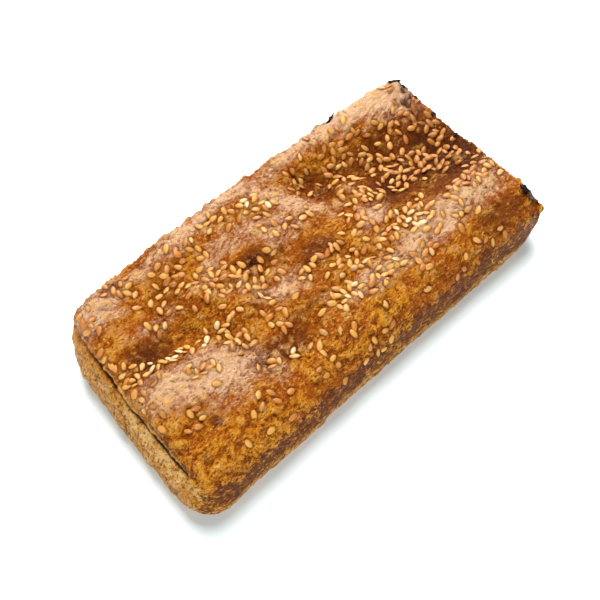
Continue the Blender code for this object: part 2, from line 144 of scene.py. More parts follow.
# Where the seeds were strewn: place, reach along and across, turn in degrees, and how many
Drift = namedtuple("Drift", "x y along across turn count")
DRIFTS = (
    Drift(-0.0680, 0.0030, 0.0190, 0.0028, -6, 26),
    Drift(-0.0900, 0.0080, 0.0050, 0.0070, 0, 9),
    Drift(-0.0680, -0.0110, 0.0080, 0.0040, 0, 9),
    Drift(-0.0760, -0.0240, 0.0100, 0.0030, 10, 6),
    Drift(-0.0920, 0.0420, 0.0050, 0.0060, 0, 7),
    Drift(-0.0680, 0.0440, 0.0060, 0.0050, -40, 10),
    Drift(-0.0500, 0.0370, 0.0070, 0.0040, 0, 9),
    Drift(-0.0560, 0.0230, 0.0160, 0.0070, 0, 13),
    Drift(-0.0340, 0.0420, 0.0100, 0.0060, 20, 12),
    Drift(-0.0170, 0.0430, 0.0080, 0.0040, 0, 7),
    Drift(-0.0430, 0.0240, 0.0060, 0.0080, 10, 12),
    Drift(-0.0320, 0.0190, 0.0060, 0.0070, -20, 16),
    Drift(-0.0230, 0.0100, 0.0100, 0.0050, -10, 17),
    Drift(-0.0460, -0.0100, 0.0040, 0.0080, 8, 13),
    Drift(-0.0380, -0.0280, 0.0100, 0.0030, -14, 9),
    Drift(-0.0270, -0.0120, 0.0100, 0.0080, 0, 10),
    Drift(0.0030, 0.0350, 0.0100, 0.0060, 10, 17),
    Drift(0.0080, 0.0200, 0.0120, 0.0060, 0, 10),
    Drift(0.0040, -0.0040, 0.0120, 0.0060, 0, 10),
    Drift(0.0040, -0.0240, 0.0070, 0.0040, 10, 16),
    Drift(0.0200, -0.0120, 0.0100, 0.0060, 0, 22),
    Drift(0.0210, -0.0290, 0.0090, 0.0030, 0, 14),
    Drift(0.0390, -0.0160, 0.0080, 0.0050, 0, 11),
    Drift(0.0480, -0.0320, 0.0100, 0.0040, 20, 13),
    Drift(0.0350, 0.0020, 0.0100, 0.0050, 40, 18),
    Drift(0.0470, 0.0060, 0.0060, 0.0050, 0, 9),
    Drift(0.0560, -0.0160, 0.0070, 0.0050, 0, 24),
    Drift(0.0300, 0.0370, 0.0060, 0.0060, 0, 7),
    Drift(0.0520, 0.0360, 0.0110, 0.0070, 0, 29),
    Drift(0.0470, 0.0190, 0.0080, 0.0060, 0, 10),
    Drift(0.0660, 0.0250, 0.0060, 0.0090, 0, 16),
    Drift(0.0720, 0.0070, 0.0110, 0.0060, -10, 34),
    Drift(0.0890, 0.0030, 0.0090, 0.0060, 0, 22),
    Drift(0.0820, 0.0260, 0.0090, 0.0080, 0, 12),
    Drift(0.0980, 0.0280, 0.0050, 0.0120, 0, 22),
    Drift(0.0850, -0.0190, 0.0120, 0.0040, -8, 20),
    Drift(0.0980, -0.0110, 0.0050, 0.0070, 0, 9),
    Drift(0.0720, -0.0290, 0.0090, 0.0040, 0, 7),
    Drift(0.0700, -0.0480, 0.0240, 0.0035, 2, 10),
    Drift(0.0100, -0.0500, 0.0180, 0.0035, 0, 10),
    Drift(-0.0200, -0.0430, 0.0140, 0.0045, 0, 8),
    Drift(-0.0620, -0.0440, 0.0160, 0.0060, 0, 9),
    Drift(-0.0950, 0.0090, 0.0025, 0.0200, 0, 12),
)

# One strewn seed: its place, spin and tilt in degrees, and how large it is against the usual one
Seed = namedtuple("Seed", "x y spin tilt size")

# Seeds keep this far apart, and inside this share of the way out from the middle. Each is tried so many
# times, from one fixed random pattern, and a drift's reach is this many standard deviations.
SEED_GAP = 0.0025
SEED_LIMIT = 0.985
SEED_TRIES = 40
SEED_PATTERN = 11
DRIFT_DEVIATIONS = 1.5

# Sizes differ by this share, and tilts by this many degrees. Width and thickness differ by these factors too.
SEED_SIZE_SPREAD = 0.14
SEED_TILT = 9
SEED_WIDTHS, SEED_THICKNESSES = (0.9, 1.08), (0.9, 1.25)

# A seed rests on four feet, this share of its length and width out from its middle. They feel this far up
# and down for the crust. It is raised by this share of what stands up between them, and sunk by this share
# of its thickness.
REST_SHARE, REST_REACH, REST_RAISE = 0.32, 0.003, 0.6
SEED_SUNK = 0.10

# It narrows towards its tip by this share each way from its middle, and its section is this far from an
# ellipse towards a thin-edged lens
SEED_TAPER = 0.30
SEED_FLATNESS = 0.7
SEED_SIDES, SEED_RINGS = 8, 8

# Scorched crumbs on the far end's corners and edges: place along u and v, length, width and height
Crumb = namedtuple("Crumb", "u v length width height")
CRUMBS = (
    Crumb(0.975, 0.955, 0.0050, 0.0040, 0.0018),
    Crumb(0.985, 0.860, 0.0030, 0.0030, 0.0016),
    Crumb(0.985, 0.660, 0.0028, 0.0024, 0.0014),
    Crumb(0.985, 0.420, 0.0024, 0.0022, 0.0014),
    Crumb(0.990, 0.120, 0.0024, 0.0022, 0.0014),
    Crumb(0.590, 0.970, 0.0066, 0.0030, 0.0018),
    Crumb(0.975, -0.760, 0.0056, 0.0050, 0.0024),
)

# Zones of the crust's colour: place, reach along and across, turn in degrees, strength, and edge, which is 2
# for a soft fringe and more for a sharper one. The first zones give the pale film on the swells together
# with painted sheen where they catch the light, the next the darker bake together with painted shade in the
# hollows and on the slopes turned from the light, and the last what scorched at the far end. Where zones
# overlap, they add up.
Zone = namedtuple("Zone", "x y along across turn strength edge")
PALE_FILM_AND_SHEEN = (
    Zone(-0.0740, -0.0110, 0.0260, 0.0110, -7, 1.00, 6),
    Zone(-0.0580, -0.0200, 0.0150, 0.0070, -15, 0.95, 3),
    Zone(-0.0700, -0.0300, 0.0110, 0.0055, 0, 0.60, 3),
    Zone(-0.0870, 0.0430, 0.0150, 0.0100, 0, 1.25, 4),
    Zone(-0.0680, 0.0220, 0.0130, 0.0045, -5, 0.80, 3),
    Zone(-0.0900, 0.0010, 0.0070, 0.0070, 0, 0.60, 3),
    Zone(-0.0420, 0.0470, 0.0160, 0.0050, 0, 0.95, 3),
    Zone(-0.0120, 0.0490, 0.0180, 0.0050, 0, 0.95, 3),
    Zone(-0.0310, 0.0280, 0.0100, 0.0045, 30, 0.60, 3),
    Zone(-0.0130, 0.0300, 0.0140, 0.0060, -5, 0.75, 3),
    Zone(0.0050, 0.0190, 0.0130, 0.0080, 0, 0.85, 3),
    Zone(0.0190, 0.0290, 0.0210, 0.0060, -52, 1.00, 4),
    Zone(-0.0260, 0.0070, 0.0100, 0.0045, -50, 0.55, 3),
    Zone(-0.0120, -0.0040, 0.0130, 0.0080, -8, 0.85, 3),
    Zone(0.0400, -0.0040, 0.0080, 0.0060, 0, 1.15, 4),
    Zone(0.0460, 0.0140, 0.0060, 0.0050, 0, 0.60, 3),
    Zone(0.0820, 0.0470, 0.0260, 0.0075, -4, 1.80, 4),
    Zone(0.0930, 0.0370, 0.0110, 0.0070, -20, 1.50, 3),
    Zone(0.0370, 0.0490, 0.0200, 0.0045, 0, 0.90, 3),
    Zone(0.0800, -0.0220, 0.0280, 0.0065, -2, 0.80, 4),
    Zone(0.0550, -0.0290, 0.0170, 0.0070, 0, 0.95, 3),
    Zone(0.0900, -0.0300, 0.0120, 0.0060, 0, 0.65, 3),
    Zone(0.0220, -0.0280, 0.0220, 0.0060, 2, 0.95, 3),
    Zone(-0.0430, -0.0350, 0.0060, 0.0080, 0, 0.45, 3),
)
# The darker bake, with painted shade in the hollows and on the slopes turned from the light
TOAST_AND_SHADE = (
    Zone(-0.0790, 0.0115, 0.0080, 0.0065, -6, 2.30, 3),
    Zone(-0.0930, 0.0140, 0.0100, 0.0080, 0, 0.60, 3),
    Zone(-0.0560, 0.0300, 0.0090, 0.0100, 0, 1.00, 2),
    Zone(-0.0700, 0.0480, 0.0060, 0.0022, 0, 1.60, 3),
    Zone(-0.0165, 0.0145, 0.0052, 0.0042, 0, 3.00, 3),
    Zone(-0.0040, 0.0130, 0.0040, 0.0040, 0, 0.80, 2),
    Zone(-0.0430, -0.0260, 0.0060, 0.0045, -30, 1.70, 3),
    Zone(-0.0300, -0.0260, 0.0100, 0.0055, -10, 1.50, 3),
    Zone(-0.0120, -0.0190, 0.0180, 0.0036, 0, 0.90, 3),
    Zone(-0.0480, -0.0060, 0.0030, 0.0140, 6, 0.80, 2),
    Zone(-0.0310, -0.0030, 0.0080, 0.0050, 0, 0.90, 3),
    Zone(0.0350, 0.0300, 0.0075, 0.0110, 25, 1.20, 4),
    Zone(0.0560, 0.0260, 0.0160, 0.0090, -5, 0.80, 3),
    Zone(0.0780, 0.0260, 0.0170, 0.0090, -5, 1.00, 4),
    Zone(0.0930, 0.0080, 0.0100, 0.0150, 0, 2.20, 4),
    Zone(0.0780, 0.0060, 0.0210, 0.0090, -5, 2.10, 4),
    Zone(0.0570, 0.0040, 0.0100, 0.0080, 0, 1.80, 3),
    Zone(0.0950, -0.0030, 0.0120, 0.0090, 0, 2.50, 3),
    Zone(0.0820, -0.0130, 0.0190, 0.0040, -4, 0.90, 3),
    Zone(0.0100, 0.0000, 0.0100, 0.0065, 0, 1.70, 3),
    Zone(-0.0880, -0.0300, 0.0130, 0.0070, 0, 0.60, 3),
    Zone(-0.0788, -0.0331, 0.0018, 0.0014, 0, 2.60, 3),
    Zone(-0.0930, -0.0420, 0.0030, 0.0024, 0, 1.10, 3),
    Zone(-0.0840, -0.0440, 0.0024, 0.0020, 0, 0.90, 3),
    Zone(-0.0680, -0.0480, 0.0360, 0.0060, 0, 0.25, 3),
    Zone(0.0300, -0.0480, 0.0600, 0.0060, 0, 0.30, 3),
    Zone(0.0880, -0.0410, 0.0160, 0.0070, 0, 1.20, 3),
)
SCORCH = (
    Zone(0.1050, 0.0440, 0.0040, 0.0100, 0, 0.80, 3),
    Zone(0.1020, 0.0160, 0.0050, 0.0080, 0, 0.60, 2),
    Zone(0.1070, -0.0430, 0.0050, 0.0050, 0, 1.00, 3),
    Zone(0.0620, 0.0530, 0.0060, 0.0028, 0, 1.00, 3),
    Zone(0.1020, 0.0530, 0.0060, 0.0026, 0, 0.80, 3),
    Zone(-0.0165, 0.0145, 0.0026, 0.0022, 0, 0.35, 2),
)

# Seeds paler than most, and seeds browned, which are scorched where the strength passes 1. In the far hollow
# the browning is painted shade.
CREAM_SEEDS = (
    Zone(-0.0670, 0.0020, 0.0240, 0.0060, -6, 1.0, 3),
    Zone(0.0100, -0.0240, 0.0160, 0.0070, 0, 0.8, 3),
    Zone(0.0560, -0.0160, 0.0120, 0.0080, 0, 0.8, 3),
    Zone(-0.0300, -0.0270, 0.0100, 0.0050, 0, 0.7, 3),
    Zone(0.0030, 0.0330, 0.0130, 0.0080, 0, 0.6, 3),
)
TOASTED_AND_SHADED_SEEDS = (
    Zone(0.1010, 0.0330, 0.0060, 0.0170, 0, 2.2, 4),
    Zone(0.0880, 0.0080, 0.0180, 0.0120, 0, 0.65, 4),
    Zone(0.0940, -0.0010, 0.0090, 0.0080, 0, 0.65, 4),
    Zone(0.0900, -0.0160, 0.0130, 0.0060, 0, 0.8, 3),
    # Darker seeds in the far hollow: painted shade
    Zone(0.0560, 0.0330, 0.0300, 0.0120, 0, 0.5, 3),
    Zone(-0.0880, 0.0440, 0.0090, 0.0080, 0, 0.5, 3),
)

# Seeds' tints run from brown at 0 to cream at 1: the middle one, how far they spread either way, and what a
# pale zone adds. Each seed takes a share of its zone's toast between these two, and this share of the seeds
# lies under a film of dough and looks this toasted.
SEED_TINT, TINT_SPREAD, CREAM_TINT = 0.36, 0.38, 0.35
SEED_TOASTS = (0.5, 1.0)
COATED_SHARE, COATED_TOAST = 0.12, 0.6

# How near a seed the crust gets painted shade
SEED_SHADE_REACH = 0.0013

# The grid of faces: segments along and across, rows on the wall above and below the seam's foot, rings in
# under the base, the level of the seam's foot, and the level that the underside falls to at its middle
TOP_ALONG, TOP_ACROSS = 320, 168
RIM_LEVELS, WALL_LEVELS, BASE_RINGS = 14, 16, 4
SEAM_FOOT_LEVEL = 0.78
UNDERSIDE = -1.0

# Fine relief along the crust's normals: how large its grains are and how far they rise and sink. Crumb
# breaks up the torn edges and the near end's wall alone.
RELIEF_SIZES = {
    "Bump size": 8.0 * MM,
    "Bump depth": 6.0 * MM,
    "Grain size": 2.3 * MM,
    "Grain depth": 2.1 * MM,
    "Crumb size": 2.4 * MM,
    "Crumb depth": 2.8 * MM,
}
RELIEF_DETAIL = {"Bump": 1.0, "Grain": 1.0, "Crumb": 1.5}
RELIEF_ROUGHNESS = 0.6

# Noise has this mean. Bumps are noise folded there, round on top with creases between them, with a new mean.
MEAN_NOISE = 0.5
CREASED, MEAN_FOLD = ("Bump",), 0.08

# The lowest place that the relief may reach, far off in x and y, and on the floor in z
LOWEST_PLACE = (-1.0, -1.0, 0.0)

# The share of the relief that the steep walls do without, the share of that which the near end's wall keeps
# after all, and how crumbly that wall is
WALL_EASE, NEAR_END_KEEPS, NEAR_END_CRUMB = 0.75, 0.35, 0.7

# Where marks on the crust start and where they are full: steep faces by how far they turn from level, the
# wall by its levels under the rim, the near side's bare foot by height, the ragged far rims by their
# distance, above this height, what can scorch by height, and what is free to be rough by height
STEEP = (0.35, 0.8)
BELOW_RIM = (0.97, 0.88)
BARE_FOOT = (0.0085, 0.0045)
RAGGED, RAGGED_FROM = (0.0050, 0.0010), 0.012
SCORCHED_HEIGHTS = (0.012, 0.022)
FREE_HEIGHTS = (0.0, 0.0012)

# How much of the bare wall's look the walls that face away have
FAR_WALL_SHARE = 0.5

# Noise that colours follow: the size of its patches in real millimetres, its detail and its roughness, and
# whether it runs in thin ridges
Patches = namedtuple("Patches", "size detail roughness ridged", defaults=(False,))

# Coats of colour, one over another: what each follows, where it starts and where it is full, how much it
# then hides of what lies under it, and its colour
Coat = namedtuple("Coat", "field start full share colour")

# Stains and blotches are uneven browning, speckles are flakes and pits, grains are flecks of bran and flour,
# and creases are the wrinkles of drying dough
CRUST_PATCHES = {
    "stain": Patches(15 * MM, 3, 0.55),
    "blotch": Patches(5.5 * MM, 4, 0.6),
    "speckle": Patches(2.2 * MM, 4, 0.7),
    "grain": Patches(1.1 * MM, 3, 0.75),
    "crease": Patches(2.6 * MM, 3, 0.6, ridged=True),
}
RIDGED = {"Offset": 1.0, "Gain": 1.5}

# The dough was stretched along the loaf as it was shaped, and its patches with it
CRUST_STRETCH = (0.62, 1.0, 1.0)

# The marks stored on the crust, and the weighted sums of noise and marks that its coats follow. Rise is how
# far the fine relief stands up there. The sums and the coat that follow rise make the raised relief paler and
# its low places darker: painted light and shade.
CRUST_MARKS = ("bloom", "toast", "scorch", "wall", "lip", "torn", "crack", "contact", "rise")
CRUST_BLENDS = {
    "tone": (("stain", 0.4), ("blotch", 0.6), ("rise", 0.10 / MM)),
    "pits_and_low_shade": (("blotch", 0.5), ("speckle", 0.6), ("rise", 0.10 / MM), ("bloom", 0.11), ("wall", 0.11)),
    "shading": (("grain", 1.0), ("bloom", 0.04), ("wall", 0.04)),
    "gleaming": (("grain", 1.0), ("toast", -0.05), ("wall", -0.03)),
    "crease_shade": (("crease", 1.0), ("speckle", -1.5), ("bloom", -0.70), ("wall", -0.55)),
    "toasting_and_shade": (("toast", 1.0), ("stain", 1.0), ("speckle", -1.4)),
    "sheen_and_film": (("bloom", 0.9), ("rise", 0.30 / MM), ("grain", 1.0), ("speckle", 0.8), ("blotch", 1.6)),
    "walling": (("wall", 1.0), ("speckle", 1.4)),
    "tearing": (("torn", 1.0), ("blotch", 2.0), ("speckle", 1.6), ("grain", 1.0)),
    "wall pits": (("wall", 0.2), ("torn", 0.1), ("blotch", -1.0), ("speckle", -1.4), ("grain", -0.4)),
    "wall crumbs": (("wall", 0.2), ("torn", 0.1), ("blotch", 0.8), ("speckle", 1.0), ("grain", 0.8)),
    "scorching": (("scorch", 1.0), ("speckle", -1.6)),
    "relief": (("speckle", 0.9), ("grain", 1.0), ("crease", -0.10)),
}
CRUST_GROUND = "#b65a08"
CRUST_COATS = (
    Coat("tone", 0.43, 0.58, 1.00, "#ea961e"),
    # The darker bake, and painted shade in the hollows
    Coat("toasting_and_shade", 0.15, 1.35, 0.90, "#763408"),
    Coat("toasting_and_shade", 1.60, 2.80, 0.80, "#401608"),
    # The pale film on the swells, with painted sheen
    Coat("sheen_and_film", 2.04, 2.42, 0.75, "#c08868"),
    Coat("sheen_and_film", 2.34, 2.90, 0.90, "#fcca9e"),
    Coat("walling", 0.90, 1.40, 0.85, "#eca440"),
    # Paler where the fine relief stands up: painted light
    Coat("rise", 0.0002, 0.0010, 0.50, "#ecaa40"),
    # Dark pits, and painted shade where the fine relief is low
    Coat("pits_and_low_shade", 0.52, 0.40, 0.80, "#783406"),
    Coat("shading", 0.49, 0.36, 0.88, "#783a02"),
    Coat("gleaming", 0.53, 0.65, 0.88, "#f0b650"),
    # Darker along the wrinkles: painted shade in them
    Coat("crease_shade", 0.80, 1.20, 0.80, "#622c04"),
    Coat("tearing", 2.85, 3.45, 0.85, "#ffca74"),
    Coat("wall pits", -1.12, -0.80, 0.45, "#a05a18"),
    Coat("wall crumbs", 1.54, 1.74, 0.75, "#ffd696"),
    Coat("lip", 0.2, 0.9, 0.75, "#ffc470"),
    # Painted shade on the crust round each seed
    Coat("contact", 0.0, 1.0, 0.50, "#542404"),
    # Near black down in the seam's groove: painted shade
    Coat("crack", 0.07, 0.32, 0.94, "#241002"),
    Coat("scorching", -0.35, 0.05, 0.85, "#1e0e0a"),
)

# The crust's shine, its roughness where the grain is low and where it is high, those two values of the grain,
# and how deep the relief is that its mesh is too coarse for
CRUST_SPECULAR, CRUST_SHEEN_TINT = 0.28, "#ffb480"
CRUST_DULLNESS, CRUST_GRAINS = (0.50, 0.32), (0.35, 0.65)
CRUST_RELIEF = 3.5 * MM

SEED_PATCHES = {"mottle": Patches(1.1 * MM, 2, 0.5)}
SEED_MARKS = ("tint", "edge", "tip", "toasted")
SEED_BLENDS = {"golden": (("tint", 1.0), ("mottle", 0.4)), "edge_shade_and_tip": (("edge", 1.0), ("tip", 0.15))}
SEED_GROUND = "#b06a28"
SEED_COATS = (
    Coat("golden", 0.20, 0.70, 1.0, "#c48c40"),
    Coat("golden", 0.85, 1.15, 1.0, "#c8ae80"),
    # Painted shade towards the seed's edge, and a little darker towards its tip
    Coat("edge_shade_and_tip", 0.60, 1.10, 0.80, "#7a3e16"),
    Coat("toasted", 0.0, 1.0, 1.0, "#9c6022"),
    Coat("toasted", 1.0, 1.8, 1.0, "#4c2810"),
)
SEED_SPECULAR, SEED_DULLNESS = 0.3, 0.42

CHAR_PATCHES = {"grain": Patches(1.2 * MM, 3, 0.6)}
CHAR_GROUND = "#170d0c"
CHAR_COATS = (Coat("grain", 0.48, 0.70, 0.8, "#4a2814"),)
CHAR_SPECULAR, CHAR_DULLNESS = 0.15, 0.7

# Burnt crumbs are lumpy: the size and depth of their lumps and of the grit on them, as shares of a crumb,
# and how often their faces are divided
CHAR_LUMPS = Roughness(size=0.40, depth=0.80, number=0)
CHAR_GRIT = Roughness(size=0.15, depth=0.35, number=9)
CHAR_DIVISIONS = 4

# The photograph's camera, soft lamps by azimuth, elevation, distance, size and power, and the floor
LOOK_AT = Vector((-0.0075, -0.0070, 0.0150))
CAMERA_AZIMUTH, CAMERA_ELEVATION, CAMERA_DISTANCE = -42.5, 61.0, 0.64
CAMERA_LENS, CAMERA_SENSOR = 84.0, 36
Lamp = namedtuple("Lamp", "name azimuth elevation distance size watts")
LAMPS = (
    Lamp("window", 146, 58, 1.2, 0.85, 25.5),
    Lamp("low window", 142, 24, 1.2, 0.9, 14),
    Lamp("card", -46, 14, 1.4, 0.5, 21),
)
FILL_COLOUR, FILL_STRENGTH = "#f8f8fa", 0.15
FLOOR_COLOUR, FLOOR_DULLNESS, FLOOR_GLOW, FLOOR_REACH = "#ebf5f6", 0.9, 0.07, 3.0


def linear(colour):
    """An sRGB hex colour as the linear values that a shader takes."""
    channels = [int(colour[i : i + 2], 16) / 255 for i in (1, 3, 5)]
    return [c / 12.92 if c <= 0.04045 else ((c + 0.055) / 1.055) ** 2.4 for c in channels] + [1.0]


def add_node(tree, kind, inputs=None, **settings):
    """Adds a node with its settings, and sets or links its inputs, named or numbered."""
    node = tree.nodes.new(kind)
    for name, value in settings.items():
        setattr(node, name, value)
    for socket, value in (inputs or {}).items():
        if isinstance(value, bpy.types.NodeSocket):
            tree.links.new(value, node.inputs[socket])
        else:
            node.inputs[socket].default_value = value
    return node


def mix(a, b, share):
    """The value that is this share of the way from a to b."""
    return a + (b - a) * share


def rough(points, kind):
    """A smooth random rise and fall of this kind at each point."""
    shifted = points / kind.size + (kind.number, 0, 0)
    return np.array([noise.noise(point) for point in shifted]) * kind.depth


def level_places(x, y):
    """These places on the floor, as points."""
    return np.stack([x, y, np.zeros_like(x)], axis=1)


def reach_of(side, along):
    """Where a side's bulge is, at this place along its run of -1 to 1."""
    return side.place + side.slant * along + side.bow * along * along


def shoulder_rise(distance, reach):
    """Rises from 0 at the rim to 1 where the shoulder ends, as a quarter of an ellipse does."""
    left = 1.0 - np.clip(distance / reach, 0.0, 1.0)
    return np.sqrt(np.maximum(1.0 - left * left, 0.0))


def rim_distances(x, y):
    """How far this place lies inside the rim of the near end, far end, near side and far side."""
    along, across = x / FAR_END.place, y / FAR_SIDE.place
    return (
        x - reach_of(NEAR_END, across) - NEAR_END.inset,
        reach_of(FAR_END, across) - FAR_END.inset - x,
        y - reach_of(NEAR_SIDE, along) - NEAR_SIDE.inset,
        reach_of(FAR_SIDE, along) - FAR_SIDE.inset - y,
    )


def corner_radius(u, v, level):
    """The radius of the corner that (u, v) is nearest to, at a level from 0 at the foot to 1 at the rim."""
    corners = ((NEAR_END_NEAR_SIDE, NEAR_END_FAR_SIDE), (FAR_END_NEAR_SIDE, FAR_END_FAR_SIDE))
    radii = np.array([[[corner.foot, corner.rim] for corner in end] for end in corners])
    nearest = radii[(u >= 0).astype(int), (v >= 0).astype(int)]
    return mix(nearest[:, 0], nearest[:, 1], level)


def rounded(u, v, level):
    """Moves a point of the square so that each ring round the middle gets the loaf's round corners."""
    ring = np.maximum(np.maximum(np.abs(u), np.abs(v)), 1e-6)
    half_length, half_width = FAR_END.place, FAR_SIDE.place
    radius = corner_radius(u, v, level) * ring
    x, y = np.abs(u) * half_length, np.abs(v) * half_width
    on_end = np.abs(u) >= np.abs(v)
    past = np.where(on_end, y - (half_width * ring - radius), x - (half_length * ring - radius))
    angle = np.maximum(past, 0) / radius * math.pi / 4
    out, over = radius * np.cos(angle), radius * np.sin(angle)
    x = np.where(past > 0, half_length * ring - radius + np.where(on_end, out, over), x)
    y = np.where(past > 0, half_width * ring - radius + np.where(on_end, over, out), y)
    return np.copysign(x / half_length, u), np.copysign(y / half_width, v)


def plan(u, v, level, inset_share, inset):
    """The place seen from above of (u, v), with the rim's inset taken at this share, and a set inset."""
    u, v = rounded(u, v, level)
    near_end = reach_of(NEAR_END, v) + NEAR_END.inset * inset_share + inset
    far_end = reach_of(FAR_END, v) - FAR_END.inset * inset_share - inset
    near_side = reach_of(NEAR_SIDE, u) + NEAR_SIDE.inset * inset_share + inset
    far_side = reach_of(FAR_SIDE, u) - FAR_SIDE.inset * inset_share - inset
    x = mix(near_end, far_end, (u + 1) / 2)
    y = mix(near_side, far_side, (v + 1) / 2)
    places = level_places(x, y)
    return x + rough(places, WANDER_ALONG), y + rough(places, WANDER_ACROSS)


def fading(x, y, spot):
    """Runs from 1 in the middle of a swell or zone towards 0 outside it."""
    turn = math.radians(spot.turn)
    dx, dy = x - spot.x, y - spot.y
    along = (dx * math.cos(turn) + dy * math.sin(turn)) / spot.along
    across = (dy * math.cos(turn) - dx * math.sin(turn)) / spot.across
    return 1 / (1 + np.hypot(along, across) ** spot.edge)


def swell_height(x, y):
    """How far the crust stands above or below its level top at this place."""
    return sum(swell.rise * fading(x, y, swell) for swell in SWELLS)


def crust_height(x, y):
    """The height of the top crust at this place: from the rims over the shoulders to the swollen top."""
    rises = [shoulder_rise(d, side.shoulder) for d, side in zip(rim_distances(x, y), SIDES)]
    weights = [FULL_WEIGHT - rise for rise in rises]
    rim = sum(weight * side.rim for weight, side in zip(weights, SIDES)) / sum(weights)
    height = mix(rim, CROWN_HEIGHT + swell_height(x, y), math.prod(rises))
    places = level_places(x, y)
    return height + rough(places, LUMPS) + rough(places, CRAGS)


def seam_run(u, y):
    """Runs from 1 at the middle of the near end to 0 where the seam ends, and is 0 on the other sides."""
    return np.maximum(1 - (y / (FAR_SIDE.place * SEAM_RUN)) ** 2, 0.0) * (u < NEAR_END_FROM)


def above_seam(y, level):
    """How far this level of the wall is above the seam."""
    wavering = rough(level_places(np.zeros_like(y), y), SEAM_WAVER)
    return level - SEAM_LEVEL - SEAM_SLANT * y / FAR_SIDE.place - wavering


def seam_shift(u, y, level):
    """How far the wall is set in at the seam, or out at the lip over it, along the near end alone."""
    breaks = 1 + rough(level_places(np.zeros_like(y), y), SEAM_BREAKS)
    above = above_seam(y, level) / SEAM_SPREAD
    crack = SEAM_DEPTH * breaks * np.exp(-(above**2))
    lip = SEAM_LIP * np.exp(-((above - LIP_ABOVE) ** 2))
    return seam_run(u, y) * (crack - lip)


def loaf_points(u, v, level):
    """The crust over (u, v) at level 1, its wall at levels down to 0, and its underside below level 0."""
    top = level > 1 - LEVEL_SLACK
    under = level < -LEVEL_SLACK
    up = np.clip(level, 0, 1)
    below = np.maximum(1 - up / BULGE_SHARE, 0)
    foot_inset = FOOT_INSET * (1 - np.sqrt(1 - below * below))
    leaning = np.maximum((up - BULGE_SHARE) / (1 - BULGE_SHARE), 0) ** 2
    seam = np.where(top, 0, seam_shift(u, v * FAR_SIDE.place, up))
    x, y = plan(u, v, up, leaning, foot_inset + seam)
    rim_x, rim_y = plan(u, v, np.ones_like(u), 1.0, 0.0)
    z = crust_height(rim_x, rim_y) * up
    points = np.stack([x, y, z], axis=1)
    outward = level_places(x, y)
    outward /= np.maximum(np.linalg.norm(outward, axis=1, keepdims=True), 1e-9)
    fade = np.where(top, 0, 4 * up * (1 - up))
    points += outward * (rough(points, CRAGS) * fade)[:, None]
    inwards = np.where(under, 1 + level, 1)
    return points * np.stack([inwards, inwards, np.ones_like(u)], axis=1)


def square_place(x, y):
    """The (u, v) whose crust lies at this place, near enough away from the round corners."""
    u, v = x / FAR_END.place, y / FAR_SIDE.place
    for _ in range(3):
        near_end, far_end = reach_of(NEAR_END, v) + NEAR_END.inset, reach_of(FAR_END, v) - FAR_END.inset
        near_side, far_side = reach_of(NEAR_SIDE, u), reach_of(FAR_SIDE, u)
        u = 2 * (x - near_end) / (far_end - near_end) - 1
        v = 2 * (y - near_side) / (far_side - near_side) - 1
    return u, v


def set_points(mesh, points):
    mesh.vertices.foreach_set("co", np.ascontiguousarray(points, np.float32).ravel())
    mesh.update()


def get_points(mesh):
    points = np.empty(len(mesh.vertices) * 3, np.float32)
    mesh.vertices.foreach_get("co", points)
    return points.reshape(-1, 3).astype(float)


def get_normals(mesh):
    normals = np.empty(len(mesh.vertices) * 3, np.float32)
    mesh.vertex_normals.foreach_get("vector", normals)
    return normals.reshape(-1, 3).astype(float)


def store(mesh, name, values):
    """Keeps one number for each point of the mesh, for its nodes to read."""
    attribute = mesh.attributes.new(name, "FLOAT", "POINT")
    attribute.data.foreach_set("value", np.ascontiguousarray(values, np.float32))


def new_object(name, mesh):
    obj = bpy.data.objects.new(name, mesh)
    bpy.context.scene.collection.objects.link(obj)
    return obj


def zone_share(x, y, zones):
    """How strong these zones are at this place, all together."""
    return sum(zone.strength * fading(x, y, zone) for zone in zones)


def smooth_step(values, start, full):
    """Runs smoothly from 0 at start to 1 at full, which may be above or below it."""
    share = np.clip((values - start) / (full - start), 0, 1)
    return share * share * (3 - 2 * share)


def crust_grid():
    """The unshaped skin in u, v and level: a grid, its edge drawn down the wall and in under the base."""
    rim = np.linspace(1, SEAM_FOOT_LEVEL, RIM_LEVELS + 1)[1:]
    wall = np.linspace(SEAM_FOOT_LEVEL, 0, WALL_LEVELS + 1)[1:]
    base = np.linspace(0, UNDERSIDE, BASE_RINGS + 2)[1:-1]
    bm = bmesh.new()
    bmesh.ops.create_grid(bm, x_segments=TOP_ALONG, y_segments=TOP_ACROSS, size=1.0)
    bmesh.ops.translate(bm, verts=bm.verts, vec=(0, 0, 1))
    edge = [e for e in bm.edges if e.is_boundary]
    for level in (*rim, *wall, *base):
        made = bmesh.ops.extrude_edge_only(bm, edges=edge)["geom"]
        for vertex in (g for g in made if isinstance(g, bmesh.types.BMVert)):
            vertex.co.z = level
        edge = [g for g in made if isinstance(g, bmesh.types.BMEdge) and g.is_boundary]
    bmesh.ops.holes_fill(bm, edges=edge, sides=0)
    bmesh.ops.triangulate(bm, faces=[f for f in bm.faces if len(f.verts) > 4])
    bmesh.ops.recalc_face_normals(bm, faces=bm.faces)
    mesh = bpy.data.meshes.new("crust")
    bm.to_mesh(mesh)
    bm.free()
    return mesh


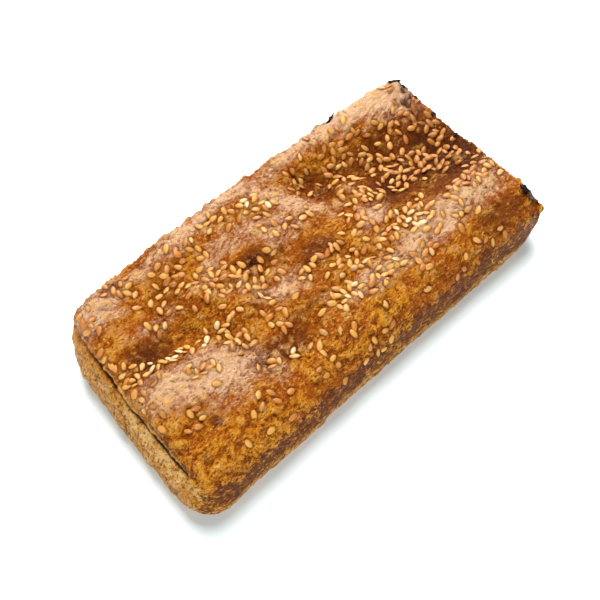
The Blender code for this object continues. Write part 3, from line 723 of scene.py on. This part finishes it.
def mark_zones(mesh, u, v, level):
    """Stores film and painted sheen, toast and painted shade, scorch, bare wall, seam, and how crumbly and
    rough it may be.
    """
    points, normals = get_points(mesh), get_normals(mesh)
    x, y, z = points.T
    across, up = v * FAR_SIDE.place, np.clip(level, 0, 1)
    steep = smooth_step(1 - np.abs(normals[:, 2]), *STEEP)
    below_rim = smooth_step(level, *BELOW_RIM)
    near_end = np.clip(-normals[:, 0], 0, 1) ** 2
    near_side = np.clip(-normals[:, 1], 0, 1) ** 2
    far_walls = steep * (normals[:, 0] + normals[:, 1] > 0)
    near_walls = np.maximum(near_end, near_side * smooth_step(z, *BARE_FOOT))
    wall = below_rim * np.maximum(near_walls, FAR_WALL_SHARE * far_walls)
    _, from_far_end, _, from_far_side = rim_distances(x, y)
    from_far_rims = np.minimum(np.abs(from_far_end), np.abs(from_far_side))
    ragged = smooth_step(from_far_rims, *RAGGED) * (z > RAGGED_FROM)
    seam = seam_shift(u, across, up)
    above = above_seam(across, up)
    torn = smooth_step(above, -TORN_REACH, -0.5 * TORN_REACH) * smooth_step(above, 0.0, -SEAM_SPREAD)
    torn *= np.minimum(2 * seam_run(u, across), 1) * smooth_step(y, *TORN_END)
    eased = 1 - WALL_EASE * steep * (1 - np.maximum(ragged, NEAR_END_KEEPS * near_end))
    marks = {
        "bloom": zone_share(x, y, PALE_FILM_AND_SHEEN) * (1 - wall) - steep,
        "toast": zone_share(x, y, TOAST_AND_SHADE) * (1 - wall),
        "scorch": zone_share(x, y, SCORCH) * smooth_step(z, *SCORCHED_HEIGHTS),
        "wall": np.where(level < -LEVEL_SLACK, 1.0, wall),
        # The seam's groove, where the crust is painted near black: painted shade
        "crack": np.clip(seam / SEAM_DEPTH, 0, 1),
        "lip": np.clip(-seam / SEAM_LIP, 0, 1),
        "torn": torn,
        "crumbly": np.clip(NEAR_END_CRUMB * near_end * below_rim + ragged + torn, 0, 1),
        "free": smooth_step(z, *FREE_HEIGHTS) * (level > -LEVEL_SLACK) * eased,
    }
    for name, values in marks.items():
        store(mesh, name, values)


def relief_tree():
    """Roughens a skin along its normals by bumps, grains and crumbly pits, and keeps it above the floor."""
    tree = bpy.data.node_groups.new("crust relief", "GeometryNodeTree")
    socket = tree.interface.new_socket
    socket("Skin", in_out="INPUT", socket_type="NodeSocketGeometry")
    for name in RELIEF_SIZES:
        socket(name, in_out="INPUT", socket_type="NodeSocketFloat")
    socket("Material", in_out="INPUT", socket_type="NodeSocketMaterial")
    socket("Skin", in_out="OUTPUT", socket_type="NodeSocketGeometry")
    given = add_node(tree, "NodeGroupInput").outputs
    place = add_node(tree, "GeometryNodeInputPosition").outputs[0]
    normal = add_node(tree, "GeometryNodeInputNormal").outputs[0]
    rises = {}
    for name, detail in RELIEF_DETAIL.items():
        scale = add_node(tree, "ShaderNodeMath", {0: 1.0, 1: given[f"{name} size"]}, operation="DIVIDE")
        waves = {"Vector": place, "Scale": scale.outputs[0], "Detail": detail, "Roughness": RELIEF_ROUGHNESS}
        wave = add_node(tree, "ShaderNodeTexNoise", waves)
        raw = {0: wave.outputs[0], 1: MEAN_NOISE}
        centred = add_node(tree, "ShaderNodeMath", raw, operation="SUBTRACT")
        if name in CREASED:
            folded = add_node(tree, "ShaderNodeMath", {0: centred.outputs[0]}, operation="ABSOLUTE")
            raw = {0: folded.outputs[0], 1: MEAN_FOLD}
            centred = add_node(tree, "ShaderNodeMath", raw, operation="SUBTRACT")
        deep = {0: centred.outputs[0], 1: given[f"{name} depth"]}
        rises[name] = add_node(tree, "ShaderNodeMath", deep, operation="MULTIPLY").outputs[0]
    crumbly = add_node(tree, "GeometryNodeInputNamedAttribute", {"Name": "crumbly"}, data_type="FLOAT")
    free = add_node(tree, "GeometryNodeInputNamedAttribute", {"Name": "free"}, data_type="FLOAT")
    soft = add_node(tree, "ShaderNodeMath", {0: rises["Bump"], 1: rises["Grain"]}, operation="ADD").outputs[0]
    whole = {0: rises["Crumb"], 1: crumbly.outputs[0], 2: soft}
    rise = add_node(tree, "ShaderNodeMath", whole, operation="MULTIPLY_ADD").outputs[0]
    freed = add_node(tree, "ShaderNodeMath", {0: rise, 1: free.outputs[0]}, operation="MULTIPLY")
    offset = add_node(tree, "ShaderNodeVectorMath", {0: normal, "Scale": freed.outputs[0]}, operation="SCALE")
    marked = {"Geometry": given["Skin"], "Name": "rise", "Value": rise}
    kept = add_node(tree, "GeometryNodeStoreNamedAttribute", marked, data_type="FLOAT")
    moved = {"Geometry": kept.outputs[0], "Offset": offset.outputs[0]}
    rough_skin = add_node(tree, "GeometryNodeSetPosition", moved)
    off_floor = add_node(tree, "ShaderNodeVectorMath", {0: place, 1: LOWEST_PLACE}, operation="MAXIMUM")
    lifted = {"Geometry": rough_skin.outputs[0], "Position": off_floor.outputs[0]}
    laid = add_node(tree, "GeometryNodeSetPosition", lifted)
    real = add_node(tree, "GeometryNodeRealizeInstances", {"Geometry": laid.outputs[0]})
    dressed = {"Geometry": real.outputs[0], "Material": given["Material"]}
    finished = add_node(tree, "GeometryNodeSetMaterial", dressed)
    add_node(tree, "NodeGroupOutput", {"Skin": finished.outputs[0]})
    return tree


def grown(obj, tree, sizes):
    """Runs a tree of nodes on an object with these named sizes, and keeps the plain mesh that it gives."""
    modifier = obj.modifiers.new(tree.name, "NODES")
    modifier.node_group = tree
    for item in tree.interface.items_tree:
        if item.in_out == "INPUT" and item.name in sizes:
            modifier[item.identifier] = sizes[item.name]
    graph = bpy.context.evaluated_depsgraph_get()
    mesh = bpy.data.meshes.new_from_object(obj.evaluated_get(graph))
    obj.modifiers.remove(modifier)
    mesh.name = obj.name
    obj.data = mesh
    mesh.shade_smooth()
    return obj


def build_crust(material):
    mesh = crust_grid()
    u, v, level = get_points(mesh).T
    set_points(mesh, loaf_points(u, v, level))
    mark_zones(mesh, u, v, level)
    return grown(new_object("crust", mesh), relief_tree(), {**RELIEF_SIZES, "Material": material})


def free_place(draw, drift, taken):
    """A place in the drift that is on the crust and clear of the places taken, or None after some tries."""
    turn = math.radians(drift.turn)
    for _ in range(SEED_TRIES):
        along = draw.gauss(0, drift.along / DRIFT_DEVIATIONS)
        across = draw.gauss(0, drift.across / DRIFT_DEVIATIONS)
        x = drift.x + along * math.cos(turn) - across * math.sin(turn)
        y = drift.y + along * math.sin(turn) + across * math.cos(turn)
        on_crust = max(abs(share) for share in square_place(x, y)) < SEED_LIMIT
        if on_crust and all(math.hypot(x - a, y - b) > SEED_GAP for a, b in taken):
            return x, y
    return None


def strewn_seeds():
    """Every seed on the crust, drawn drift by drift."""
    draw = random.Random(SEED_PATTERN)
    seeds, taken = [], []
    for drift in (d for d in DRIFTS for _ in range(d.count)):
        place = free_place(draw, drift, taken)
        if place is None:
            continue
        taken.append(place)
        size = 1 + draw.uniform(-SEED_SIZE_SPREAD, SEED_SIZE_SPREAD)
        tilt, spin = draw.gauss(0, SEED_TILT), draw.uniform(0, 360)
        seeds.append(Seed(*place, spin, tilt, size))
    return seeds


def seed_mesh():
    """One flaxseed: a flat drop, round at one end and drawn to a point at the other."""
    bm = bmesh.new()
    upright = Matrix.Rotation(math.pi / 2, 4, "Y")
    bmesh.ops.create_uvsphere(bm, u_segments=SEED_SIDES, v_segments=SEED_RINGS, radius=0.5, matrix=upright)
    bmesh.ops.recalc_face_normals(bm, faces=bm.faces)
    mesh = bpy.data.meshes.new("flaxseed")
    bm.to_mesh(mesh)
    bm.free()
    x, y, z = get_points(mesh).T
    taper = 1 - SEED_TAPER * x
    store(mesh, "tip", x * 2)
    store(mesh, "edge", np.hypot(x, y) * 2)
    z *= mix(1, 2 * np.abs(z), SEED_FLATNESS)
    set_points(mesh, np.stack([x * SEED_LENGTH, y * SEED_WIDTH * taper, z * SEED_THICKNESS * taper], axis=1))
    return mesh


def lie_matrix(surface, place, spin):
    """Where a thing lies flat on the crust nearest this place, spun in degrees about its normal."""
    at, up, _, _ = surface.find_nearest(place)
    across = up.cross(Vector((1, 0, 0))).normalized()
    lie = Matrix((across.cross(up), across, up)).transposed().to_4x4()
    return Matrix.Translation(at) @ lie @ Matrix.Rotation(math.radians(spin), 4, "Z")


def resting_matrix(surface, place, seed):
    """Where a seed rests on the crust under its ends and sides, tilted a little and a little sunk."""
    lie = lie_matrix(surface, place, seed.spin)
    up = lie.col[2].to_3d()
    ends = [lie.col[0].to_3d() * SEED_LENGTH * share for share in (REST_SHARE, -REST_SHARE)]
    sides = [lie.col[1].to_3d() * SEED_WIDTH * share for share in (REST_SHARE, -REST_SHARE)]
    feet = []
    for out in (*ends, *sides):
        over = lie.to_translation() + out + up * REST_REACH
        foot = surface.ray_cast(over, -up, 2 * REST_REACH)[0]
        feet.append(foot or over - up * REST_REACH)
    along, across = (feet[0] - feet[1]).normalized(), (feet[2] - feet[3]).normalized()
    up = along.cross(across).normalized()
    middle = (feet[0] + feet[1] + feet[2] + feet[3]) / 4
    proud = max((foot - middle).dot(up) for foot in (*feet, lie.to_translation()))
    rest = Matrix((along, up.cross(along), up)).transposed().to_4x4()
    raised = middle + up * (REST_RAISE * proud - SEED_SUNK * SEED_THICKNESS)
    return Matrix.Translation(raised) @ rest @ Matrix.Rotation(math.radians(seed.tilt), 4, "Y")


def strewing_tree():
    """Puts one seed on each point, laid and stretched as the point says, and joins them into one mesh."""
    tree = bpy.data.node_groups.new("strewn flaxseeds", "GeometryNodeTree")
    socket = tree.interface.new_socket
    socket("Places", in_out="INPUT", socket_type="NodeSocketGeometry")
    socket("Seed", in_out="INPUT", socket_type="NodeSocketObject")
    socket("Seed scale", in_out="INPUT", socket_type="NodeSocketFloat")
    socket("Material", in_out="INPUT", socket_type="NodeSocketMaterial")
    socket("Seeds", in_out="OUTPUT", socket_type="NodeSocketGeometry")
    given = add_node(tree, "NodeGroupInput").outputs
    seed = add_node(tree, "GeometryNodeObjectInfo", {"Object": given["Seed"]}, transform_space="ORIGINAL")
    lie = add_node(tree, "GeometryNodeInputNamedAttribute", {"Name": "lie"}, data_type="FLOAT_VECTOR")
    turn = add_node(tree, "FunctionNodeEulerToRotation", {"Euler": lie.outputs[0]})
    stretch = add_node(tree, "GeometryNodeInputNamedAttribute", {"Name": "stretch"}, data_type="FLOAT_VECTOR")
    scaled = {0: stretch.outputs[0], "Scale": given["Seed scale"]}
    size = add_node(tree, "ShaderNodeVectorMath", scaled, operation="SCALE")
    strewing = {
        "Points": given["Places"],
        "Instance": seed.outputs["Geometry"],
        "Rotation": turn.outputs[0],
        "Scale": size.outputs[0],
    }
    strewn = add_node(tree, "GeometryNodeInstanceOnPoints", strewing)
    joined = add_node(tree, "GeometryNodeRealizeInstances", {"Geometry": strewn.outputs[0]})
    dressed = {"Geometry": joined.outputs[0], "Material": given["Material"]}
    finished = add_node(tree, "GeometryNodeSetMaterial", dressed)
    add_node(tree, "NodeGroupOutput", {"Seeds": finished.outputs[0]})
    return tree


def store_vectors(mesh, name, values):
    attribute = mesh.attributes.new(name, "FLOAT_VECTOR", "POINT")
    attribute.data.foreach_set("vector", np.ascontiguousarray(values, np.float32).ravel())


def build_seeds(seeds, surface, material):
    """Every flaxseed as one piece, each on the crust where it was strewn, with its own tint and toast."""
    draw = random.Random(SEED_PATTERN + 1)
    x, y = np.array([s.x for s in seeds]), np.array([s.y for s in seeds])
    heights = crust_height(x, y)
    lies = [resting_matrix(surface, Vector((seed.x, seed.y, z)), seed) for seed, z in zip(seeds, heights)]
    mesh = bpy.data.meshes.new("flaxseeds")
    mesh.from_pydata([lie.to_translation() for lie in lies], [], [])
    store_vectors(mesh, "lie", [lie.to_euler() for lie in lies])
    stretches = [
        (seed.size, seed.size * draw.uniform(*SEED_WIDTHS), seed.size * draw.uniform(*SEED_THICKNESSES))
        for seed in seeds
    ]
    store_vectors(mesh, "stretch", stretches)
    cream = np.clip(zone_share(x, y, CREAM_SEEDS), 0, 1)
    spread = np.array([draw.uniform(-1, 1) for _ in seeds])
    store(mesh, "tint", np.clip(SEED_TINT + TINT_SPREAD * spread + CREAM_TINT * cream, 0, 1))
    toasted = zone_share(x, y, TOASTED_AND_SHADED_SEEDS) * [draw.uniform(*SEED_TOASTS) for _ in seeds]
    coated = np.array([draw.random() < COATED_SHARE for _ in seeds]) * COATED_TOAST
    store(mesh, "toasted", np.maximum(toasted, coated))
    shape = new_object("flaxseed_shape", seed_mesh())
    sizes = {"Seed": shape, "Seed scale": 1.0, "Material": material}
    piece = grown(new_object("flaxseeds", mesh), strewing_tree(), sizes)
    bpy.data.objects.remove(shape)
    return piece


def skin_of(mesh):
    """The mesh's surface, for finding the nearest place on it."""
    return BVHTree.FromPolygons([v.co for v in mesh.vertices], [p.vertices for p in mesh.polygons])


def mark_seed_shade(mesh, seeds_mesh):
    """Stores how near each point of the crust is to a seed, for the painted shade round it."""
    seeds = skin_of(seeds_mesh)
    found = (seeds.find_nearest(Vector(point), SEED_SHADE_REACH)[3] for point in get_points(mesh))
    distances = np.array([SEED_SHADE_REACH if distance is None else distance for distance in found])
    store(mesh, "contact", 1 - distances / SEED_SHADE_REACH)


def build_scorched_crumbs(surface, material):
    """The burnt crumbs on the far end's edges, each a rough lump half sunk in the crust."""
    bm = bmesh.new()
    for number, crumb in enumerate(CRUMBS):
        made = bmesh.ops.create_icosphere(bm, subdivisions=CHAR_DIVISIONS, radius=0.5)["verts"]
        u, v, level = (np.array([c]) for c in (crumb.u, crumb.v, 1.0))
        lie = lie_matrix(surface, Vector(loaf_points(u, v, level)[0]), 0)
        round_points = np.array([vertex.co for vertex in made]) + (number, 0, 0)
        lumpy = 1 + rough(round_points, CHAR_LUMPS) + rough(round_points, CHAR_GRIT)
        for vertex, swollen in zip(made, lumpy):
            burnt = vertex.co * swollen
            vertex.co = lie @ Vector((burnt.x * crumb.length, burnt.y * crumb.width, burnt.z * crumb.height))
    mesh = bpy.data.meshes.new("scorched_crumbs")
    bm.to_mesh(mesh)
    bm.free()
    mesh.materials.append(material)
    mesh.shade_smooth()
    return new_object("scorched_crumbs", mesh)


def new_material(name):
    """A new material with its tree of nodes and its shader."""
    material = bpy.data.materials.new(name)
    material.use_nodes = True
    tree = material.node_tree
    return material, tree, tree.nodes["Principled BSDF"]


def read_fields(tree, patches, marks=(), blends=None, stretch=(1.0, 1.0, 1.0)):
    """What colours follow: noise in patches, marks stored on the mesh, and weighted sums of these."""
    at = add_node(tree, "ShaderNodeTexCoord").outputs["Object"]
    place = add_node(tree, "ShaderNodeMapping", {"Vector": at, "Scale": stretch}).outputs[0]
    fields = {}
    for name, kind in patches.items():
        waves = {"Vector": place, "Scale": 1 / kind.size, "Detail": kind.detail, "Roughness": kind.roughness}
        waves.update(RIDGED if kind.ridged else {})
        pattern = "RIDGED_MULTIFRACTAL" if kind.ridged else "FBM"
        fields[name] = add_node(tree, "ShaderNodeTexNoise", waves, noise_type=pattern).outputs[0]
    for name in marks:
        fields[name] = add_node(tree, "ShaderNodeAttribute", attribute_name=name).outputs["Fac"]
    for name, parts in (blends or {}).items():
        total = 0.0
        for part, weight in parts:
            weighted = {0: fields[part], 1: weight, 2: total}
            total = add_node(tree, "ShaderNodeMath", weighted, operation="MULTIPLY_ADD").outputs[0]
        fields[name] = total
    return fields


def lay_coats(tree, fields, ground, coats):
    """The ground's colour with each coat over it where the coat's field is high enough."""
    colour = linear(ground)
    for coat in coats:
        limits = {
            "Value": fields[coat.field],
            "From Min": coat.start,
            "From Max": coat.full,
            "To Max": coat.share,
        }
        share = add_node(tree, "ShaderNodeMapRange", limits, interpolation_type="SMOOTHSTEP").outputs[0]
        laid = {0: share, 6: colour, 7: linear(coat.colour)}
        colour = add_node(tree, "ShaderNodeMix", laid, data_type="RGBA").outputs[2]
    return colour


def crust_material():
    """Wholemeal crust, baked: rough orange-brown, faintly shiny, pale film and painted sheen on its swells,
    dark pits, painted shade in its hollows.
    """
    material, tree, shader = new_material("baked_wholemeal_crust")
    fields = read_fields(tree, CRUST_PATCHES, CRUST_MARKS, CRUST_BLENDS, CRUST_STRETCH)
    colour = lay_coats(tree, fields, CRUST_GROUND, CRUST_COATS)
    tree.links.new(colour, shader.inputs["Base Color"])
    dull, shiny = CRUST_DULLNESS
    low, high = CRUST_GRAINS
    limits = {"Value": fields["grain"], "From Min": low, "From Max": high, "To Min": dull, "To Max": shiny}
    dullness = add_node(tree, "ShaderNodeMapRange", limits).outputs[0]
    tree.links.new(dullness, shader.inputs["Roughness"])
    shader.inputs["Specular IOR Level"].default_value = CRUST_SPECULAR
    shader.inputs["Specular Tint"].default_value = linear(CRUST_SHEEN_TINT)
    grains = {"Strength": 1.0, "Distance": CRUST_RELIEF, "Height": fields["relief"]}
    tree.links.new(add_node(tree, "ShaderNodeBump", grains).outputs[0], shader.inputs["Normal"])
    return material


def seed_material():
    """Golden flaxseed, dried and baked: glossy, cream to golden brown, with painted shade towards its edge,
    darker at its tip.
    """
    material, tree, shader = new_material("baked_golden_flaxseed")
    fields = read_fields(tree, SEED_PATCHES, SEED_MARKS, SEED_BLENDS)
    colour = lay_coats(tree, fields, SEED_GROUND, SEED_COATS)
    tree.links.new(colour, shader.inputs["Base Color"])
    shader.inputs["Roughness"].default_value = SEED_DULLNESS
    shader.inputs["Specular IOR Level"].default_value = SEED_SPECULAR
    return material


def scorched_material():
    """Crust burnt to carbon: near black, matt, with a brown cast where it is thinner."""
    material, tree, shader = new_material("scorched_crust")
    colour = lay_coats(tree, read_fields(tree, CHAR_PATCHES), CHAR_GROUND, CHAR_COATS)
    tree.links.new(colour, shader.inputs["Base Color"])
    shader.inputs["Roughness"].default_value = CHAR_DULLNESS
    shader.inputs["Specular IOR Level"].default_value = CHAR_SPECULAR
    return material


def build_floor():
    """A wide sheet of white acrylic, matt and faintly lit from below, which softens the loaf's shadow."""
    bm = bmesh.new()
    bmesh.ops.create_grid(bm, x_segments=1, y_segments=1, size=FLOOR_REACH)
    mesh = bpy.data.meshes.new("floor")
    bm.to_mesh(mesh)
    bm.free()
    material, _, shader = new_material("backlit_white_acrylic")
    shader.inputs["Base Color"].default_value = linear(FLOOR_COLOUR)
    shader.inputs["Roughness"].default_value = FLOOR_DULLNESS
    shader.inputs["Emission Color"].default_value = linear(FLOOR_COLOUR)
    shader.inputs["Emission Strength"].default_value = FLOOR_GLOW
    mesh.materials.append(material)
    new_object("floor", mesh)


def stand_off(obj, azimuth, elevation, distance):
    """Stands a lamp or camera off from the loaf, looking at it. Azimuth 0 looks along +Y, 90 along -X."""
    az, el = math.radians(azimuth), math.radians(elevation)
    back = Vector((math.sin(az) * math.cos(el), -math.cos(az) * math.cos(el), math.sin(el)))
    facing = back.to_track_quat("Z", "Y").to_matrix().to_4x4()
    obj.matrix_world = Matrix.Translation(LOOK_AT + back * distance) @ facing
    bpy.context.scene.collection.objects.link(obj)


def build_studio():
    """A pale floor, soft light from behind and above, and a camera at the photograph's angle."""
    build_floor()
    world = bpy.data.worlds.new("studio")
    world.use_nodes = True
    sky = world.node_tree.nodes["Background"].inputs
    sky["Color"].default_value = linear(FILL_COLOUR)
    sky["Strength"].default_value = FILL_STRENGTH
    bpy.context.scene.world = world
    for lamp in LAMPS:
        light = bpy.data.lights.new(lamp.name, "AREA")
        light.shape, light.size, light.energy = "DISK", lamp.size, lamp.watts
        stand_off(bpy.data.objects.new(lamp.name, light), lamp.azimuth, lamp.elevation, lamp.distance)
    camera = bpy.data.cameras.new("camera")
    camera.sensor_width, camera.lens = CAMERA_SENSOR, CAMERA_LENS
    camera_object = bpy.data.objects.new("camera", camera)
    stand_off(camera_object, CAMERA_AZIMUTH, CAMERA_ELEVATION, CAMERA_DISTANCE)
    bpy.context.scene.camera = camera_object
    view = bpy.context.scene.view_settings
    view.view_transform, view.look = "Standard", "None"


def main():
    crust = build_crust(crust_material())
    surface = skin_of(crust.data)
    seeds = build_seeds(strewn_seeds(), surface, seed_material())
    mark_seed_shade(crust.data, seeds.data)
    crumbs = build_scorched_crumbs(surface, scorched_material())
    for piece in (crust, seeds, crumbs):
        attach(piece, "root")
        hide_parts("flaxseed_loaf")
    build_studio()


main()
